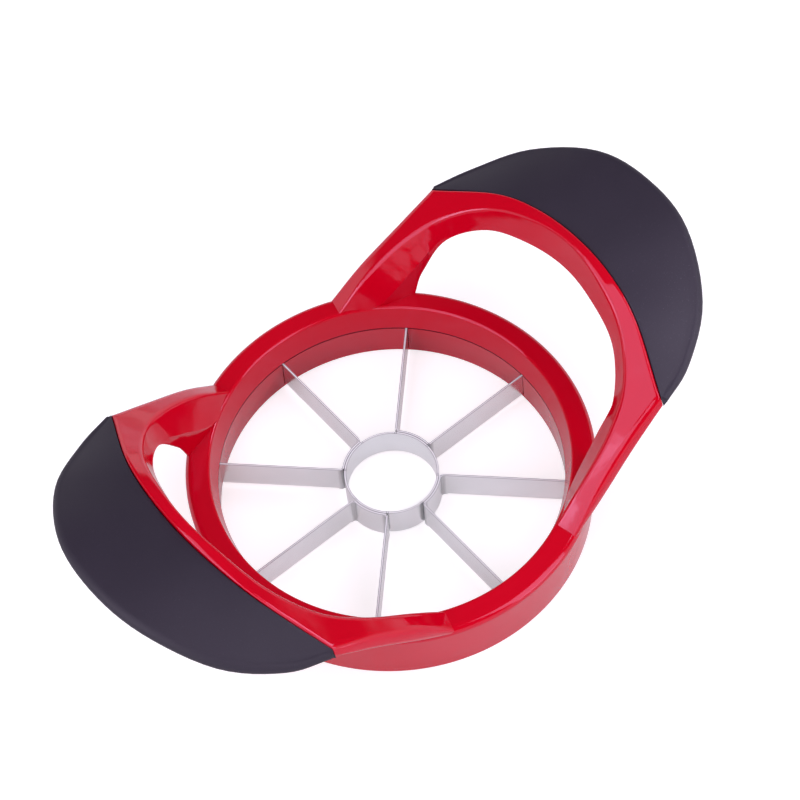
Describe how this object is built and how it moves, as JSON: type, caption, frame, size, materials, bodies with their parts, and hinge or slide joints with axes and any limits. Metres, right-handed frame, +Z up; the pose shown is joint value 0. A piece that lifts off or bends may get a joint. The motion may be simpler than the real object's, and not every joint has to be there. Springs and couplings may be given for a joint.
{
  "type": "apple slicer",
  "caption": "Push-down apple slicer: a round moulded ring with a core cutter and radial blades inside, and two raised arched handles with soft overmoulded grips.",
  "frame": {"origin": "centre of the ring, at the height of the table it stands on", "axes": "+X runs along the tool's length, out through the middle of the right handle; +Z is up, out of the ring's rim"},
  "size_m": [0.18, 0.1068, 0.0586],
  "materials": {
    "red_plastic": "glossy injection-moulded ABS",
    "soft_grip": "matte soft-touch overmoulded elastomer",
    "stainless_steel": "cold-rolled stainless strip with ground lower edges"
  },
  "bodies": {
    "root": {"body_frame": "red_plastic", "blade_ring": "red_plastic", "grip_left": "soft_grip", "grip_right": "soft_grip", "core_ring": "stainless_steel", "blade_strip_1": "stainless_steel", "blade_strip_2": "stainless_steel", "blade_strip_3": "stainless_steel", "blade_strip_4": "stainless_steel"}
  },
  "joints": []
}
